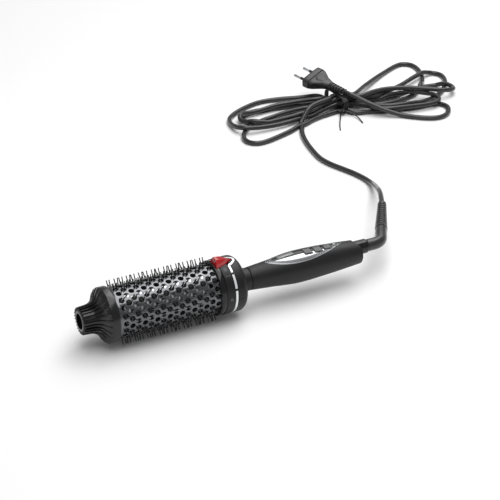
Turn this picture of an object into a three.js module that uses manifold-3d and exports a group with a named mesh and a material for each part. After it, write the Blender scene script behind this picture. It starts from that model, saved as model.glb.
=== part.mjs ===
// Heated round barrel brush with a swivelling mains lead.
// Millimetres. The brush lies along +X, nose at -X, lead at +X; Z is up and the floor is z = 0.
// The bristle tips rest on the floor, and the origin is below the middle of the brush.
import * as THREE from 'three';
import { ConvexGeometry } from 'three/addons/geometries/ConvexGeometry.js';
import { mergeVertices } from 'three/addons/utils/BufferGeometryUtils.js';
import Module from 'manifold-3d';

const wasm = await Module();
wasm.setup();

// ---- driving dimensions ----
const GAP = 0.3; // clearance between neighbouring pieces
const LENGTH = 315.5; // nose tip to the face of the end collar
const BRISTLE_R = 32; // axis to bristle tip
const NOSE_X = -LENGTH / 2;
const BARREL_X = NOSE_X + 31.8; // barrel shows from here ...
const LIP_X = NOSE_X + 137.5; // ... to the glossy lip ring
const COLLAR_X = NOSE_X + 143.5; // front collar
const RING_X = NOSE_X + 152.5; // chrome ring
const REAR_X = NOSE_X + 154.5; // rear collar
const NECK_X = NOSE_X + 169.4; // neck
const GRIP_X = NOSE_X + 179.3; // grip
const GRIP_END_X = NOSE_X + 305.4;
const END_X = LENGTH / 2;

const BARREL_R = 25.2;
const BARREL_WALL = 0.8;
const COLUMN_PITCH = 6.47; // barrel holes along the axis
const FIRST_COLUMN = 6.15; // first column from the front of the barrel
const COLUMN_COUNT = 16;
const PIN_COLUMNS = [0, 4, 10, 14]; // columns whose bristles are drawn, the end ones among them
const STRIP_COUNT = 10;
const COLLAR_R = 28;
const NECK_R = 11.8;
const SWIVEL_RISE = 3.9; // swivel axis above the brush axis
const STEM_R = 4.8;
const END_COLLAR_R = 7.5;
const ELBOW_R = 6.3;

const PANEL_X = 84.75; // middle of the control panel
const PANEL_HALF_LENGTH = 44.5;
const PANEL_HALF_WIDTH = 12.3;
const STRIP_Y = [-4.2, 6]; // edges of the glossy strip
const BUTTON_X = [87.4, 99, 110.2];
const BUTTON_Y = -1.1;
const BUTTON_HALF_WIDTH = [5.2, 5.2, 3.7];
const DISPLAY = { x: 64.2, y: 2 };
const LIGHT = { x: 119.5, y: 0.6 };

const RELEASE_ROLL = THREE.MathUtils.degToRad(5.5); // release button, from the top towards -Y
const SPLIT_ROLL = THREE.MathUtils.degToRad(6); // parting plane of the rear collar

const CORD_R = 3;
const CORD_SIDES = 8;
const RELIEF_LENGTH = 60;
const RELIEF_DIRECTION = new THREE.Vector3(0.541, 0.841, 0).normalize();
const ELBOW_CORNER = new THREE.Vector3(175.5, 0, BRISTLE_R + SWIVEL_RISE);
const ELBOW_LENGTH = 27.5; // corner to the strain relief
// the lead from the strain relief to the hank, laid on the floor
const CORD_ROUTE = [
  [228.6, 84, 35], [237, 99, 32.6], [245.9, 115.7, 28], [255.2, 133.8, 21.5], [264.5, 153, 14],
  [272.3, 171.2, 7.5], [276, 185, 3.8], [276, 197, 3], [272.8, 213.5, 3], [267, 231, 3],
  [261.2, 249, 3], [258.7, 267, 3], [261.4, 290, 3], [266.8, 315.5, 3], [274.5, 339, 3.1],
];
const HANK = { x: 359.4, y: 400.8, left: 158, right: 176, height: 16, waist: 18, leftLobe: 62, rightLobe: 80 };

const PLUG_FACE = new THREE.Vector3(341.5, 439.5, 30.5);
const PLUG_HEADING = THREE.MathUtils.degToRad(-66.6); // from the pins towards the lead
const PLUG_DIP = THREE.MathUtils.degToRad(7);
const PLUG_ROLL = THREE.MathUtils.degToRad(13);
const PLUG_WIDTH = 35.3;
const PLUG_THICKNESS = 13.7;
const PIN_PITCH = 18.6;

// ---- shape helpers ----
function solid(geometry) {
  const bare = geometry.clone();
  bare.deleteAttribute('normal');
  bare.deleteAttribute('uv');
  const merged = mergeVertices(bare, 1e-4);
  const triVerts = new Uint32Array(merged.index.array);
  const vertProperties = new Float32Array(merged.attributes.position.array);
  return new wasm.Manifold(new wasm.Mesh({ numProp: 3, vertProperties, triVerts }));
}

function geometryOf(body) {
  const mesh = body.getMesh();
  const geometry = new THREE.BufferGeometry();
  geometry.setAttribute('position', new THREE.Float32BufferAttribute(mesh.vertProperties, 3));
  geometry.setIndex(Array.from(mesh.triVerts));
  geometry.computeVertexNormals();
  return geometry;
}

const cut = (geometry, ...tools) =>
  geometryOf(tools.reduce((body, tool) => body.subtract(solid(tool)), solid(geometry)));
const join = (...pieces) => geometryOf(wasm.Manifold.union(pieces.map(solid)));
const common = (a, b) => geometryOf(solid(a).intersect(solid(b)));

// a body of revolution about the brush axis from [x, radius] points; it closes on itself or on the axis
function turned(profile, segments = 24) {
  const points = profile.map(([x, r]) => new THREE.Vector2(r, x));
  const onAxis = points[0].x === 0 && points.at(-1).x === 0;
  if (THREE.ShapeUtils.area(points) < 0) points.reverse();
  if (!onAxis) points.push(points[0].clone());
  return new THREE.LatheGeometry(points, segments).rotateZ(-Math.PI / 2);
}

const tube = (x0, x1, inner, outer, segments) =>
  turned([[x0, inner], [x0, outer], [x1, outer], [x1, inner]], segments);
const rod = (x0, x1, r, segments = 16) => turned([[x0, 0], [x0, r], [x1, r], [x1, 0]], segments);

function box(x0, x1, y0, y1, z0, z1) {
  const middle = [(x0 + x1) / 2, (y0 + y1) / 2, (z0 + z1) / 2];
  return new THREE.BoxGeometry(x1 - x0, y1 - y0, z1 - z0).translate(...middle);
}

function prism(shape, z0, z1, curveSegments = 3) {
  const options = { depth: z1 - z0, bevelEnabled: false, curveSegments };
  return new THREE.ExtrudeGeometry(shape, options).translate(0, 0, z0);
}

function roundedRect(x, y, halfLength, halfWidth, r) {
  const shape = new THREE.Shape();
  const [dx, dy] = [halfLength - r, halfWidth - r];
  shape.absarc(x + dx, y + dy, r, 0, Math.PI / 2, false);
  shape.absarc(x - dx, y + dy, r, Math.PI / 2, Math.PI, false);
  shape.absarc(x - dx, y - dy, r, Math.PI, 1.5 * Math.PI, false);
  shape.absarc(x + dx, y - dy, r, 1.5 * Math.PI, 2 * Math.PI, false);
  return shape;
}

// ---- materials ----
function finish(color, roughness, metalness = 0) {
  return new THREE.MeshStandardMaterial({ color, roughness, metalness });
}
const CHARCOAL = () => finish(0x2c2c2e, 0.6);
const GLOSS_BLACK = () => finish(0x0c0c0d, 0.12);
const SATIN_METAL = () => finish(0x9d9fa2, 0.3, 1);
const CHROME = () => finish(0xd8dadd, 0.08, 1);
const ALUMINIUM = () => finish(0xb4b6b9, 0.35, 1);
const NYLON = () => finish(0x141415, 0.4);
const RED_LENS = () => finish(0xc20d12, 0.08);
const LEAD = () => finish(0x232325, 0.5);

const brush = new THREE.Group();
brush.position.z = BRISTLE_R;
const lead = new THREE.Group();
const group = new THREE.Group();
group.add(brush, lead);

function add(parent, name, geometry, material) {
  const mesh = new THREE.Mesh(geometry, material);
  mesh.name = name;
  parent.add(mesh);
  return mesh;
}

// ---- nose ----
function addNose() {
  const at = (x) => NOSE_X + x;
  const cap = turned([
    [at(9), 2.3], [at(9), 7.6], [at(0), 7.6], [at(0), 12.9], [at(0.7), 13.6], [at(6), 14],
    [at(10), 14.4], [at(13.6), 15.6], [at(16.6), 17.9], [at(18.8), 20.9], [at(20.6), 24.2], [at(22.4), 26.6],
    [at(24.2), 27.7], [at(30.6), 27.7], [at(31.5), 27], [at(31.5), 25.7], [at(26.2), 25.7],
    [at(22.9), 23], [at(19.2), 18.5], [at(15.1), 13.6], [at(12), 12], [at(12), 2.3],
  ]);
  add(brush, 'nose_cap', cap, CHARCOAL());
  const hub = turned([
    [at(27), 0], [at(27), 1.9], [at(12.3), 1.9], [at(12.3), 6.5], [at(30), 6.5],
    [at(30), 23.9], [at(33.2), 23.9], [at(33.2), 0],
  ]);
  add(brush, 'nose_hub', hub, CHARCOAL());
  const screw = turned([[at(6.2), 0], [at(6.2), 4], [at(8.7), 4], [at(8.7), 1.5], [at(26), 1.5], [at(26), 0]], 12);
  add(brush, 'nose_screw', screw, SATIN_METAL());
}

// ---- barrel, bristle strips and heater ----
const columnX = (i) => BARREL_X + FIRST_COLUMN + COLUMN_PITCH * i;

function radialPin(x, r, inner, outer) {
  return new THREE.CylinderGeometry(r, r, outer - inner, 6)
    .rotateX(Math.PI / 2)
    .translate(x, 0, (inner + outer) / 2);
}

function addBarrel() {
  const pinColumns = PIN_COLUMNS.map(columnX);
  const turns = Array.from({ length: STRIP_COUNT }, (_, k) => (k * 2 * Math.PI) / STRIP_COUNT);

  const inner = BARREL_R - BARREL_WALL;
  const holes = turns.flatMap((turn) => pinColumns.map((x) => radialPin(x, 2.6, 22, 28).rotateX(turn)));
  const sleeve = tube(BARREL_X - 2, LIP_X + 1.5, inner, BARREL_R, 30);
  add(brush, 'barrel_tube', cut(sleeve, join(...holes)), SATIN_METAL());

  const bar = box(columnX(0) - 2.5, columnX(COLUMN_COUNT - 1), -1.5, 1.5, 21.6, 23.8);
  const strip = join(bar, ...pinColumns.map((x) => radialPin(x, 1, 23, BRISTLE_R)));
  turns.forEach((turn, k) => {
    add(brush, `bristle_strip_${k + 1}`, strip, NYLON()).rotation.x = turn;
  });
}

function addHeater() {
  const x0 = BARREL_X + 8;
  const x1 = LIP_X - 8;
  const halfGap = 2.2;
  const outline = new THREE.Shape();
  const r = 20.8;
  const lowest = Math.asin(halfGap / r);
  outline.absarc(0, 0, r, lowest, Math.PI - lowest, false);
  const bore = new THREE.Path();
  bore.absarc(0, 0, 16.5, Math.PI - lowest * 2.6, lowest * 2.6, true);
  outline.holes.push(bore);
  // the outline lies in X and Y: stand it up across the brush axis
  const spreader = prism(outline, x0, x1, 12).applyMatrix4(
    new THREE.Matrix4().set(0, 0, 1, 0, 1, 0, 0, 0, 0, 1, 0, 0, 0, 0, 0, 1));
  add(brush, 'heat_spreader_upper', spreader, ALUMINIUM());
  add(brush, 'heat_spreader_lower', spreader, ALUMINIUM()).rotation.x = Math.PI;
  add(brush, 'ptc_heater', box(x0 + 4, x1 - 4, -12, 12, -1.8, 1.8), finish(0xb98a4a, 0.6));
  const sensor = new THREE.SphereGeometry(1.8, 8, 6).translate(x0 + 30, 0, 13.8);
  add(brush, 'temperature_sensor', sensor, finish(0x7a4a20, 0.4));
  add(brush, 'thermal_fuse', rod(x0 + 50, x0 + 62, 2, 10).translate(0, 0, -13.6), ALUMINIUM());
}

// ---- collars, release button and neck ----
const RELEASE = { x0: NOSE_X + 140.1, x1: NOSE_X + 159.7, half: 7.8, foot: 26.6 };

// outline of the release button seen from outside: wide end over the lip ring, tip towards the grip
function releaseOutline(grow) {
  const { x0, x1, half } = RELEASE;
  return [[x0 - grow, half + grow], [x0 + 9.5, 5 + grow], [x1 + grow * 2, 0.2 + grow / 2]];
}

function releaseButton() {
  const { x0, x1, half, foot } = RELEASE;
  const pair = (x, y, z) => [new THREE.Vector3(x, y, z), new THREE.Vector3(x, -y, z)];
  const head = new ConvexGeometry([
    ...releaseOutline(0).flatMap(([x, y]) => pair(x, y, foot)),
    ...pair(x0, half, 27.4), ...pair(x0 + 9.5, 5, 28.6), ...pair(x1, 0.2, 28.2),
    ...pair(x0 + 1, 2.9, 33.6), ...pair(x0 + 8, 2.6, 32.6),
  ]);
  return join(head, radialPin(COLLAR_X + 3.5, 1.8, 22.4, foot + 1));
}

// clearance for the release button through the collars
function releaseSeat() {
  const outline = releaseOutline(0.4);
  const around = [...outline, ...outline.map(([x, y]) => [x, -y]).reverse()];
  const shape = new THREE.Shape(around.map(([x, y]) => new THREE.Vector2(x, y)));
  return prism(shape, 24.2, 36).rotateX(RELEASE_ROLL);
}

function addCollars() {
  const seat = releaseSeat();
  const lip = turned([
    [LIP_X, 25.6], [LIP_X, 26.8], [LIP_X + 1.2, 27.8], [LIP_X + 4.7, 27.8],
    [LIP_X + 5.7, 27.4], [LIP_X + 5.7, 25.6],
  ], 32);
  add(brush, 'barrel_lip', cut(lip, seat), GLOSS_BLACK());

  const front = tube(COLLAR_X, RING_X - GAP / 2, 25, COLLAR_R, 32);
  add(brush, 'front_collar', cut(front, seat), CHARCOAL());
  add(brush, 'release_button', releaseButton(), RED_LENS()).rotation.x = RELEASE_ROLL;

  const hub = tube(LIP_X - 2, LIP_X + 1, 9, 23.8, 24);
  const pinRoom = radialPin(COLLAR_X + 3.5, 2.3, 18, 26).rotateX(RELEASE_ROLL);
  add(brush, 'rear_hub', cut(join(hub, tube(LIP_X, RING_X - 2, 9, 21.5, 24)), pinRoom), CHARCOAL());
  const spigot = turned([
    [RING_X - 15, 6], [RING_X - 15, 8.7], [RING_X - 1.7, 8.7], [RING_X - 1.7, 23.5],
    [RING_X + 1.3, 23.5], [RING_X + 1.3, 6],
  ]);
  add(brush, 'head_spigot', spigot, ALUMINIUM());
  const ring = tube(RING_X + GAP / 2, REAR_X - GAP / 2, 24, COLLAR_R + 0.1, 32);
  add(brush, 'chrome_ring', cut(ring, seat), CHROME());

  const shell = turned([
    [REAR_X + GAP / 2, 25.6], [REAR_X + GAP / 2, 28.2], [REAR_X + 6.9, 28.2], [REAR_X + 9.7, 27.3],
    [REAR_X + 12, 25], [REAR_X + 13.7, 21], [REAR_X + 14.6, 16], [NECK_X - 0.2, 12.5],
    [NECK_X - 2.6, 12.5], [REAR_X + 11.6, 19.5], [REAR_X + 10, 23], [REAR_X + 7.9, 25.6],
  ], 32);
  for (const [name, z0, z1] of [['rear_collar_upper', GAP / 2, 40], ['rear_collar_lower', -40, -GAP / 2]]) {
    const half = box(REAR_X - 2, NECK_X + 2, -40, 40, z0, z1).rotateX(SPLIT_ROLL);
    add(brush, name, common(cut(shell, seat), half), CHARCOAL());
  }
  const neck = turned([
    [NECK_X - 6, 8.6], [NECK_X - 6, 18], [NECK_X - 4.4, 18], [NECK_X - 4.4, NECK_R],
    [GRIP_X - GAP / 2, NECK_R - 0.2], [GRIP_X - GAP / 2, 9.4], [GRIP_X + 8, 9.4], [GRIP_X + 8, 8.6],
  ]);
  add(brush, 'neck_sleeve', neck, CHARCOAL());
}

// ---- grip and control panel ----
const gripCurve = new THREE.SplineCurve([
  [GRIP_X, 11.6], [45.25, 13.7], [75.25, 16.4], [109.25, 15.3], [GRIP_END_X - 3, 13], [GRIP_END_X, 12.4],
].map(([x, r]) => new THREE.Vector2(x, r)));

// the grip's surface moved out by `offset`, as a solid filled to the axis
function gripSolid(offset, x0 = GRIP_X, x1 = GRIP_END_X) {
  const wall = gripCurve.getPoints(10).filter((p) => p.x > x0 && p.x < x1);
  const radiusAt = (x) => gripCurve.getPoints(60).reduce((a, b) =>
    (Math.abs(b.x - x) < Math.abs(a.x - x) ? b : a)).y;
  const points = [[x0, radiusAt(x0)], ...wall.map((p) => [p.x, p.y]), [x1, radiusAt(x1)]];
  return turned([[x0, 0], ...points.map(([x, r]) => [x, r + offset]), [x1, 0]], 28);
}

const skin = (inner, outer) => cut(gripSolid(outer), gripSolid(inner, GRIP_X - 1, GRIP_END_X + 1));

function almond(inset) {
  const a = PANEL_HALF_LENGTH - inset * 2;
  const b = PANEL_HALF_WIDTH - inset;
  const radius = (a * a + b * b) / (2 * b);
  const half = Math.asin(a / radius);
  const shape = new THREE.Shape();
  shape.absarc(PANEL_X, b - radius, radius, Math.PI / 2 - half, Math.PI / 2 + half, false);
  shape.absarc(PANEL_X, radius - b, radius, 1.5 * Math.PI - half, 1.5 * Math.PI + half, false);
  return shape;
}
const upright = (shape, curveSegments) => prism(shape, 3, 24, curveSegments);

function addGrip() {
  const swivelHole = rod(GRIP_END_X - 9, GRIP_END_X + 2, END_COLLAR_R + GAP, 24).translate(0, 0, SWIVEL_RISE);
  const hollow = gripSolid(-2, GRIP_X - 1, GRIP_END_X - 7.5);
  const grip = cut(gripSolid(0), hollow, swivelHole, upright(almond(0), 14));
  add(brush, 'grip', grip, finish(0x2f2f31, 0.75));
  const slab = (x0, x1, w, z0, z1) => box(x0, x1, -w, w, z0, z1);
  add(brush, 'grip_chassis', slab(GRIP_X + 9, 129, 8.5, -2, 0.4), CHARCOAL());
  add(brush, 'control_board', slab(42, 128, 7, 1.2, 2.6), finish(0x1c5a32, 0.5));
  add(brush, 'display_module', slab(DISPLAY.x - 10, DISPLAY.x + 10, 3.6, 3.2, 11.4), finish(0x9aa39a, 0.4));
  const keypad = join(
    slab(BUTTON_X[0] - 5, BUTTON_X[2] + 5, 4, 7, 8.2),
    ...BUTTON_X.map((x) => slab(x - 2, x + 2, 2, 7.5, 9.6)),
    slab(BUTTON_X[0] - 5, BUTTON_X[0] - 3.4, 3, 3, 7.5), slab(BUTTON_X[2] + 3.4, BUTTON_X[2] + 5, 3, 3, 7.5));
  add(brush, 'keypad', keypad, finish(0xc9c9c4, 0.7));
}

function addPanel() {
  const rim = cut(upright(almond(GAP), 14), upright(almond(1.5), 14));
  add(brush, 'panel_bezel', common(rim, skin(-1.7, 0.35)), CHROME());
  const face = common(upright(almond(1.8), 14), skin(-1.7, 0));
  const lane = (y0, y1) => box(GRIP_X, GRIP_END_X, y0, y1, 0, 30);
  const silver = () => finish(0xc6c8cb, 0.25, 1);
  const buttonShape = (i, grow) =>
    roundedRect(BUTTON_X[i], BUTTON_Y, 4.6 + grow, BUTTON_HALF_WIDTH[i] + grow, 1.2);
  const buttonRoom = BUTTON_X.map((_, i) => upright(buttonShape(i, GAP)));
  const nearSide = box(GRIP_X, BUTTON_X[2] + 1.5, -20, STRIP_Y[0] - GAP, 0, 30);
  add(brush, 'panel_insert_near', cut(common(face, nearSide), ...buttonRoom), silver());
  add(brush, 'panel_insert_far', common(face, lane(STRIP_Y[1] + GAP, 20)), silver());

  const displayShape = (grow) => roundedRect(DISPLAY.x, DISPLAY.y, 9 + grow, 2.8 + grow, 0.6);
  const lightShape = (grow) => roundedRect(LIGHT.x, LIGHT.y, 1 + grow, 0.6 + grow, 0.4);
  const strip = cut(
    common(common(upright(almond(1.8), 14), skin(-1.7, 0.15)), lane(...STRIP_Y)),
    upright(displayShape(GAP)), upright(lightShape(GAP)), ...buttonRoom);
  add(brush, 'control_strip', strip, GLOSS_BLACK());
  add(brush, 'display_lens', common(upright(displayShape(0)), skin(-1.3, 0)), finish(0x8f9496, 0.1));
  add(brush, 'status_light', common(upright(lightShape(0)), skin(-1.3, 0.2)), finish(0xf2f2ee, 0.2));
  ['power_button', 'minus_button', 'plus_button'].forEach((name, i) => {
    add(brush, name, common(upright(buttonShape(i, 0)), skin(-2.9, 0.7)), GLOSS_BLACK());
  });
}

// ---- swivel ----
function addSwivel() {
  const x0 = GRIP_END_X - 4.6;
  const raised = (geometry) => geometry.translate(0, 0, SWIVEL_RISE);
  const collar = turned([
    [x0, STEM_R + GAP], [x0, END_COLLAR_R], [END_X - 0.8, END_COLLAR_R], [END_X, 6.9], [END_X, STEM_R + GAP],
  ], 24);
  add(brush, 'end_collar', raised(collar), GLOSS_BLACK());
  const stem = turned([
    [131, 0], [131, 3.2], [x0 - 2.6, 3.2], [x0 - 2.6, 6.6], [x0 - GAP, 6.6],
    [x0 - GAP, STEM_R], [END_X, STEM_R], [END_X, 0],
  ], 16);
  add(brush, 'swivel_stem', raised(stem), CHARCOAL());
  [132, 136].forEach((x, i) => {
    add(brush, `slip_ring_${i + 1}`, raised(tube(x, x + 2.2, 3.5, 5.2, 16)), finish(0xb87333, 0.3, 1));
  });
  const block = box(131.5, 139, -4, 4, SWIVEL_RISE - 9.3, SWIVEL_RISE - 5.6);
  add(brush, 'brush_block', block, finish(0x6b4a2a, 0.6));
}

// ---- mains lead ----
function swept(path, r, sides, steps) {
  const section = new THREE.Shape();
  section.absarc(0, 0, r, 0, 2 * Math.PI, false);
  return new THREE.ExtrudeGeometry(section, { extrudePath: path, steps, curveSegments: sides / 2 });
}

function addElbow() {
  const start = new THREE.Vector3(END_X + GAP, 0, ELBOW_CORNER.z);
  const before = ELBOW_CORNER.clone().add(new THREE.Vector3(-9, 0, 0));
  const after = ELBOW_CORNER.clone().addScaledVector(RELIEF_DIRECTION, 9);
  const end = ELBOW_CORNER.clone().addScaledVector(RELIEF_DIRECTION, ELBOW_LENGTH - GAP);
  const path = new THREE.CurvePath();
  path.add(new THREE.LineCurve3(start, before));
  path.add(new THREE.QuadraticBezierCurve3(before, ELBOW_CORNER, after));
  path.add(new THREE.LineCurve3(after, end));
  add(lead, 'cord_elbow', swept(path, ELBOW_R, 16, 16), LEAD());
}

function addRelief() {
  const relief = turned([[0, 0], [0, 6.5], [3, 6.5], [RELIEF_LENGTH, 4.6], [RELIEF_LENGTH, 0]], 16);
  const mesh = add(lead, 'strain_relief', relief, LEAD());
  mesh.position.copy(ELBOW_CORNER).addScaledVector(RELIEF_DIRECTION, ELBOW_LENGTH);
  mesh.rotation.z = Math.atan2(RELIEF_DIRECTION.y, RELIEF_DIRECTION.x);
}

function addCord() {
  const reliefEnd = ELBOW_CORNER.clone().addScaledVector(RELIEF_DIRECTION, ELBOW_LENGTH + RELIEF_LENGTH + GAP);
  const route = [reliefEnd, ...CORD_ROUTE.map((p) => new THREE.Vector3(...p))];
  add(lead, 'cord', swept(new THREE.CatmullRomCurve3(route), CORD_R, CORD_SIDES, 26), LEAD());
}

// outline of the tied hank: two lobes with round ends, pulled in to a waist at the tie
function hankShape() {
  const widest = 0.62;
  const edge = (side) => {
    const reach = side < 0 ? HANK.left : HANK.right;
    const lobe = side < 0 ? HANK.leftLobe : HANK.rightLobe;
    const points = [];
    for (let i = 0; i <= 8; i++) {
      const t = i / 8;
      const swell = t * t * (3 - 2 * t);
      points.push([side * reach * widest * t, HANK.waist + (lobe - HANK.waist) * swell]);
    }
    for (let i = 1; i <= 6; i++) {
      const turn = (i * Math.PI) / 12;
      points.push([side * reach * (widest + (1 - widest) * Math.sin(turn)), lobe * Math.cos(turn)]);
    }
    return points;
  };
  const right = edge(1);
  const left = edge(-1);
  const mirrored = (points) => points.slice(1, -1).map(([x, y]) => [x, -y]);
  const outline = [
    ...right, ...mirrored(right).reverse(), [0, -HANK.waist], ...mirrored(left), ...left.slice(1).reverse(),
  ];
  return new THREE.Shape(outline.map(([x, y]) => new THREE.Vector2(HANK.x + x, HANK.y + y)));
}

function addHank() {
  add(lead, 'cord_hank', prism(hankShape(), 0.2, HANK.height), LEAD());
  // the tie is a saddle over the waist, open below
  const saddle = (halfX, halfY, z0, z1) =>
    box(HANK.x - halfX, HANK.x + halfX, HANK.y - halfY, HANK.y + halfY, z0, z1);
  const inside = HANK.waist + 3;
  const tie = cut(
    saddle(2.5, inside + 1.2, GAP, HANK.height + 1.5), saddle(4, inside, -1, HANK.height + GAP));
  add(lead, 'twist_tie', tie, finish(0x151516, 0.4));
}

// the plug's own frame: +X from the pins to the lead, Z through its thickness
function addPlug() {
  const plug = new THREE.Group();
  plug.position.copy(PLUG_FACE);
  plug.rotation.set(PLUG_ROLL, PLUG_DIP, PLUG_HEADING, 'ZYX');
  lead.add(plug);
  const half = PLUG_WIDTH / 2;
  const outline = [
    [0, -half + 1], [1, -half], [9, -half], [13, -half + 1.5], [24, -8.5], [33, -5.5],
    [33, 5.5], [24, 8.5], [13, half - 1.5], [9, half], [1, half], [0, half - 1],
  ];
  const shape = new THREE.Shape(outline.map(([x, y]) => new THREE.Vector2(x, y)));
  add(plug, 'plug_body', prism(shape, -PLUG_THICKNESS / 2, PLUG_THICKNESS / 2), LEAD());
  add(plug, 'plug_relief', turned([[33.3, 0], [33.3, 5], [56, 3.8], [56, 0]], 12), LEAD());
  [-1, 1].forEach((side, i) => {
    const pin = rod(-19, -GAP, 2, 10).translate(0, (side * PIN_PITCH) / 2, 0);
    add(plug, `plug_pin_${i + 1}`, pin, SATIN_METAL());
  });
}

addNose();
addBarrel();
addHeater();
addCollars();
addGrip();
addPanel();
addSwivel();
addElbow();
addRelief();
addCord();
addHank();
addPlug();

export default group;
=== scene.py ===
import math

import bmesh
import bpy
import numpy as np
from mathutils import Matrix, Vector


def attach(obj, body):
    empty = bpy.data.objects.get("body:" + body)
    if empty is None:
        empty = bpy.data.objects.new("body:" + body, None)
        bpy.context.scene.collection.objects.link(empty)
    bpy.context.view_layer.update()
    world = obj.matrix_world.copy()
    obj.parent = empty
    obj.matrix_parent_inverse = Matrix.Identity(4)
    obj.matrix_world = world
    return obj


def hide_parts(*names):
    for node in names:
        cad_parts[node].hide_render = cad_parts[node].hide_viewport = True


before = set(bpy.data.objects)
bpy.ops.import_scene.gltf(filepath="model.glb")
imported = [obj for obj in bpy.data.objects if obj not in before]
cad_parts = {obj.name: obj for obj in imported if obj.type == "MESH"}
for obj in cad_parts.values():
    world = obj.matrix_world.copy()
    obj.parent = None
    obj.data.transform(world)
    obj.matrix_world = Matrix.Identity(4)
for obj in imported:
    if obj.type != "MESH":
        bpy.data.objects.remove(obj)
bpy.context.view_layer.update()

# The looks of a heated round barrel brush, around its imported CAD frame.
# Shapes are written in millimetres and stored in metres. The brush lies along +X with its nose at -X,
# and an angle round it is counted from the top (+Z) towards -Y.
MM = 0.001
AXIS_Z = 32.0
NOSE_X = -157.75
BARREL_X = NOSE_X + 31.8
LIP_X = NOSE_X + 137.5
COLLAR_X = NOSE_X + 143.5
RING_X = NOSE_X + 152.5
REAR_X = NOSE_X + 154.5
NECK_X = NOSE_X + 169.4
GRIP_X = NOSE_X + 179.3
GRIP_END_X = NOSE_X + 305.4
END_X = 157.75
GAP = 0.3
BARREL_R = 25.2
BRISTLE_R = 32.0
COLLAR_R = 28.0
COLUMN_PITCH = 6.47
FIRST_COLUMN_X = BARREL_X + 6.15
COLUMN_COUNT = 16
ROW_COUNT = 20
STRIP_COUNT = 10
SWIVEL_Z = AXIS_Z + 3.9
RELEASE_ROLL = 5.5
SPLIT_ROLL = 6.0

CORD_D = 6.0
RELIEF_LENGTH = 60.0
RELIEF_DIRECTION = Vector((0.541, 0.841, 0)).normalized()
ELBOW_CORNER = Vector((175.5, 0, SWIVEL_Z))
ELBOW_LENGTH = 27.5
ELBOW_R = 6.3
END_COLLAR_R = 7.5
RELIEF_START = ELBOW_CORNER + RELIEF_DIRECTION * ELBOW_LENGTH
CORD_EXIT = RELIEF_START + RELIEF_DIRECTION * RELIEF_LENGTH

PLUG_FACE = Vector((341.5, 439.5, 30.5))
PLUG_FRAME = (Matrix.Translation(PLUG_FACE) @ Matrix.Rotation(math.radians(-66.6), 4, "Z")
              @ Matrix.Rotation(math.radians(7), 4, "Y") @ Matrix.Rotation(math.radians(13), 4, "X"))


def linked(name, data):
    """A new object in the scene that shows `data`."""
    obj = bpy.data.objects.new(name, data)
    bpy.context.scene.collection.objects.link(obj)
    return obj


# ---- camera ----
CAMERA_PLACE = (-0.6168, -1.2227, 0.7995)
CAMERA_AXES = ((0.88604, -0.46361, 0.00129), (0.21706, 0.4173, 0.88247), (-0.40966, -0.78162, 0.47037))


def add_camera():
    """CAMERA_AXES are the directions of the camera's right, up and back."""
    data = bpy.data.cameras.new("camera")
    data.lens = 114.9
    data.sensor_width = 36
    camera = linked("camera", data)
    camera.matrix_world = Matrix.Translation(CAMERA_PLACE) @ Matrix(CAMERA_AXES).transposed().to_4x4()
    bpy.context.scene.camera = camera


add_camera()


# ---- materials ----
NOISE_SPAN = (0.3, 0.7)  # nearly all of a noise lies between these
MATERIALS = {}


def new_nodes(name):
    material = bpy.data.materials.new(name)
    material.use_nodes = True
    nodes = material.node_tree.nodes
    return material, nodes, material.node_tree.links, nodes["Principled BSDF"]


def noise(nodes, links, scale, detail=3.0, stretch=(1, 1, 1), roughness=0.5):
    """A noise texture in object space, `scale` cells a metre, stretched along each axis."""
    place = nodes.new("ShaderNodeTexCoord")
    mapping = nodes.new("ShaderNodeMapping")
    mapping.inputs["Scale"].default_value = stretch
    texture = nodes.new("ShaderNodeTexNoise")
    texture.inputs["Scale"].default_value = scale
    texture.inputs["Detail"].default_value = detail
    texture.inputs["Roughness"].default_value = roughness
    links.new(place.outputs["Object"], mapping.inputs["Vector"])
    links.new(mapping.outputs["Vector"], texture.inputs["Vector"])
    return texture.outputs["Fac"]


def ramp(nodes, links, source, *colours):
    """A colour ramp from dark to light over the span of a noise."""
    node = nodes.new("ShaderNodeValToRGB")
    for element, place, colour in zip(node.color_ramp.elements, NOISE_SPAN, colours):
        element.position = place
        element.color = (*colour, 1)
    links.new(source, node.inputs["Fac"])
    return node.outputs["Color"]


def spread(nodes, links, source, low, high):
    """The span of a noise mapped to low .. high."""
    node = nodes.new("ShaderNodeMapRange")
    for socket, value in zip(("From Min", "From Max", "To Min", "To Max"), (*NOISE_SPAN, low, high)):
        node.inputs[socket].default_value = value
    links.new(source, node.inputs["Value"])
    return node.outputs["Result"]


def surface(name, colour, roughness, metallic=0.0, tint=0.15, vary=0.06, patch=60, grain=2600, bump=0.1,
            depth=0.05, stretch=(1, 1, 1), **sockets):
    """A finish, kept in MATERIALS: broad patches vary colour and roughness, a fine grain makes bumps."""
    material, nodes, links, shader = new_nodes(name)
    broad = noise(nodes, links, patch, 4, stretch)
    fine = noise(nodes, links, grain, 2, stretch, 0.6)
    dark = [c * (1 - tint) for c in colour]
    light = [min(1, c * (1 + tint)) for c in colour]
    links.new(ramp(nodes, links, broad, dark, light), shader.inputs["Base Color"])
    links.new(spread(nodes, links, broad, roughness - vary, roughness + vary), shader.inputs["Roughness"])
    shader.inputs["Metallic"].default_value = metallic
    for socket, value in sockets.items():
        shader.inputs[socket.replace("_", " ")].default_value = value
    bumps = nodes.new("ShaderNodeBump")
    bumps.inputs["Strength"].default_value = bump
    bumps.inputs["Distance"].default_value = depth * MM
    links.new(fine, bumps.inputs["Height"])
    links.new(bumps.outputs["Normal"], shader.inputs["Normal"])
    MATERIALS[name] = material


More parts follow.
